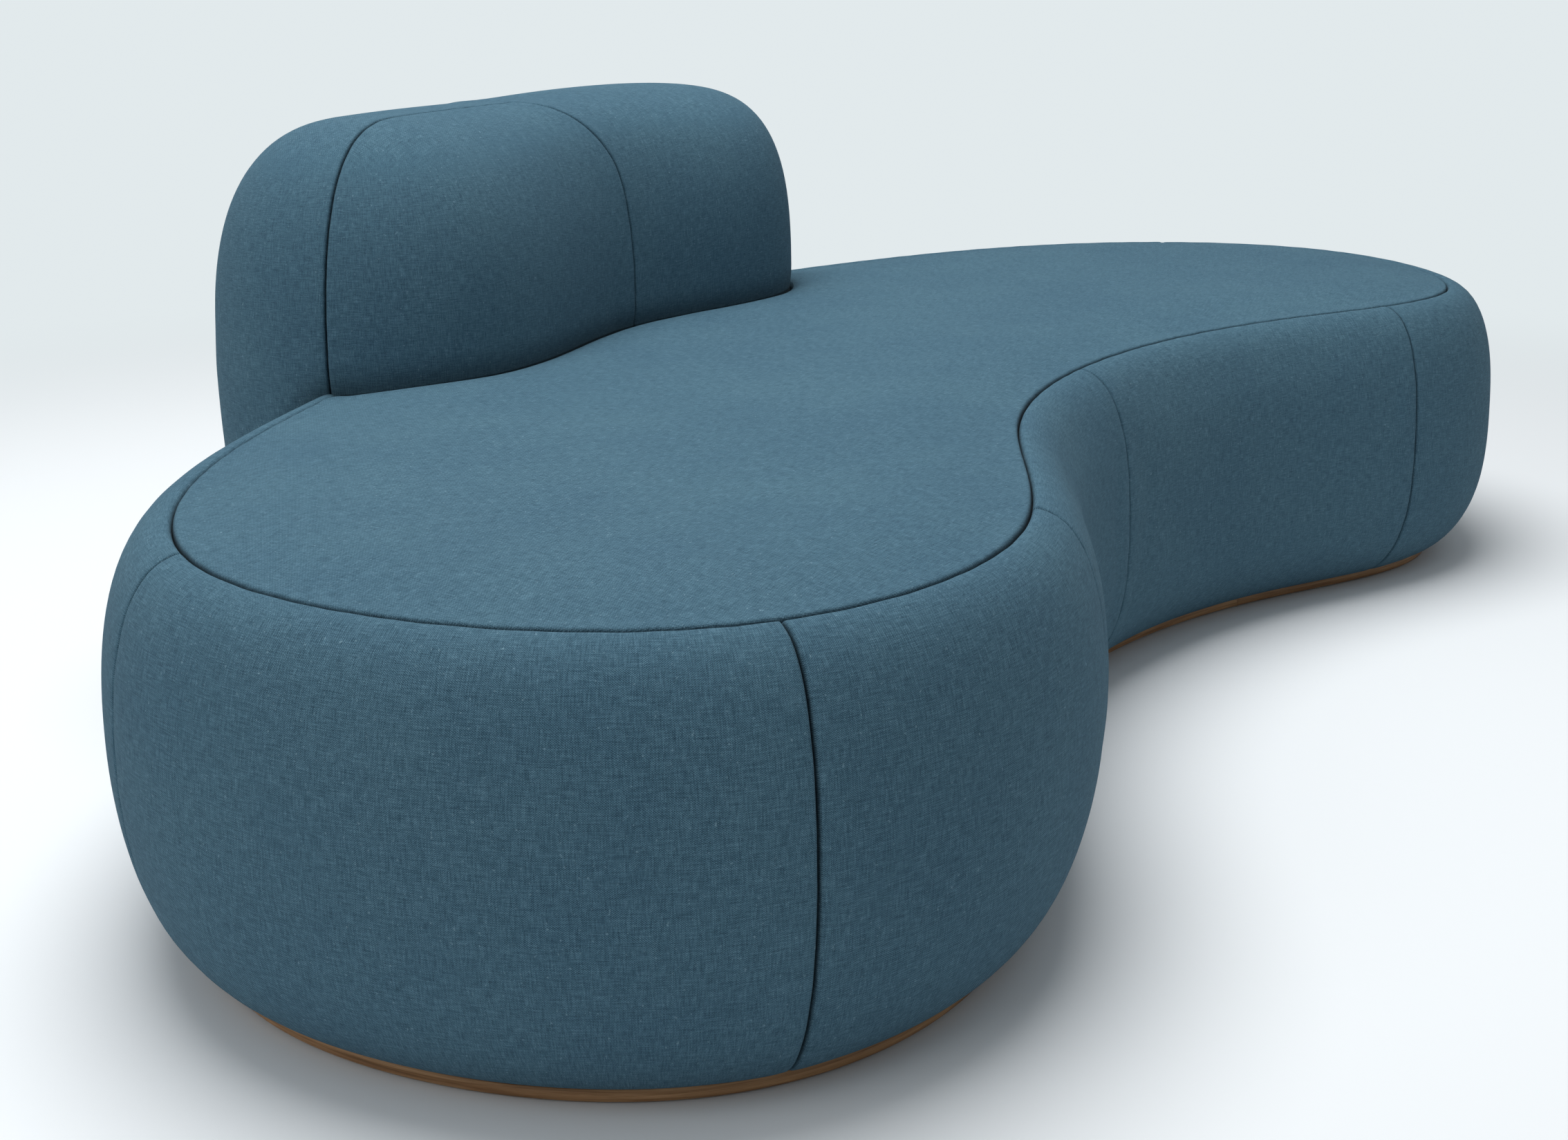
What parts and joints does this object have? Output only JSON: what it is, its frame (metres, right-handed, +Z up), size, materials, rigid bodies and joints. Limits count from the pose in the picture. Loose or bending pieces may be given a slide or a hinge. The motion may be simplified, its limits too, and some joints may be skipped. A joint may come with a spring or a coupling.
{
  "type": "curved sofa",
  "caption": "Low curved sofa: a kidney-shaped padded seat with drawn-in sides on a recessed wooden plinth, and a rounded backrest standing at the middle of its rear edge.",
  "frame": {"origin": "middle of the sofa's own box, on the floor", "axes": "+X along the sofa, +Y towards the rear where the backrest stands, +Z up; the bay of the seat and the sitter face -Y"},
  "size_m": [2.4598, 1.3058, 0.697],
  "materials": {
    "fabric": "matt muted blue woven upholstery cloth",
    "foam": "cream upholstery foam",
    "plywood": "unfinished birch plywood",
    "plinth_wood": "satin brown stained wood, grain along the edge",
    "felt": "grey pressed felt",
    "steel": "zinc plated"
  },
  "bodies": {
    "root": {"glide_1": "felt", "glide_2": "felt", "glide_3": "felt", "glide_4": "felt", "glide_5": "felt", "glide_6": "felt", "plinth_board_left": "plinth_wood", "plinth_board_middle": "plinth_wood", "plinth_board_right": "plinth_wood", "base_board_left": "plywood", "base_board_right": "plywood", "rib_1": "plywood", "rib_2": "plywood", "rib_3": "plywood", "rib_4": "plywood", "rib_5": "plywood", "rib_6": "plywood", "fascia_left": "plywood", "fascia_right": "plywood", "deck_board_left": "plywood", "deck_board_right": "plywood", "seat_foam_core": "foam", "seat_foam_topper": "foam", "seat_foam_side_1": "foam", "seat_foam_side_2": "foam", "seat_foam_side_3": "foam", "seat_foam_side_4": "foam", "seat_foam_side_5": "foam", "seat_foam_side_6": "foam", "seat_foam_side_7": "foam", "seat_cover_top": "fabric", "seat_cover_side_1": "fabric", "seat_cover_side_2": "fabric", "seat_cover_side_3": "fabric", "seat_cover_side_4": "fabric", "seat_cover_side_5": "fabric", "seat_cover_side_6": "fabric", "seat_cover_side_7": "fabric", "back_foam_front": "foam", "back_foam_rear": "foam", "back_foam_left": "foam", "back_foam_right": "foam", "back_foam_top": "foam", "back_panel_front": "plywood", "back_panel_rear": "plywood", "back_rail_bottom": "plywood", "back_rail_top": "plywood", "back_post_1": "plywood", "back_post_2": "plywood", "back_post_3": "plywood", "back_bracket_left": "steel", "back_bracket_right": "steel", "back_bolt_left": "steel", "back_bolt_right": "steel", "back_cover_front": "fabric", "back_cover_right": "fabric", "back_cover_rear": "fabric"}
  },
  "joints": []
}
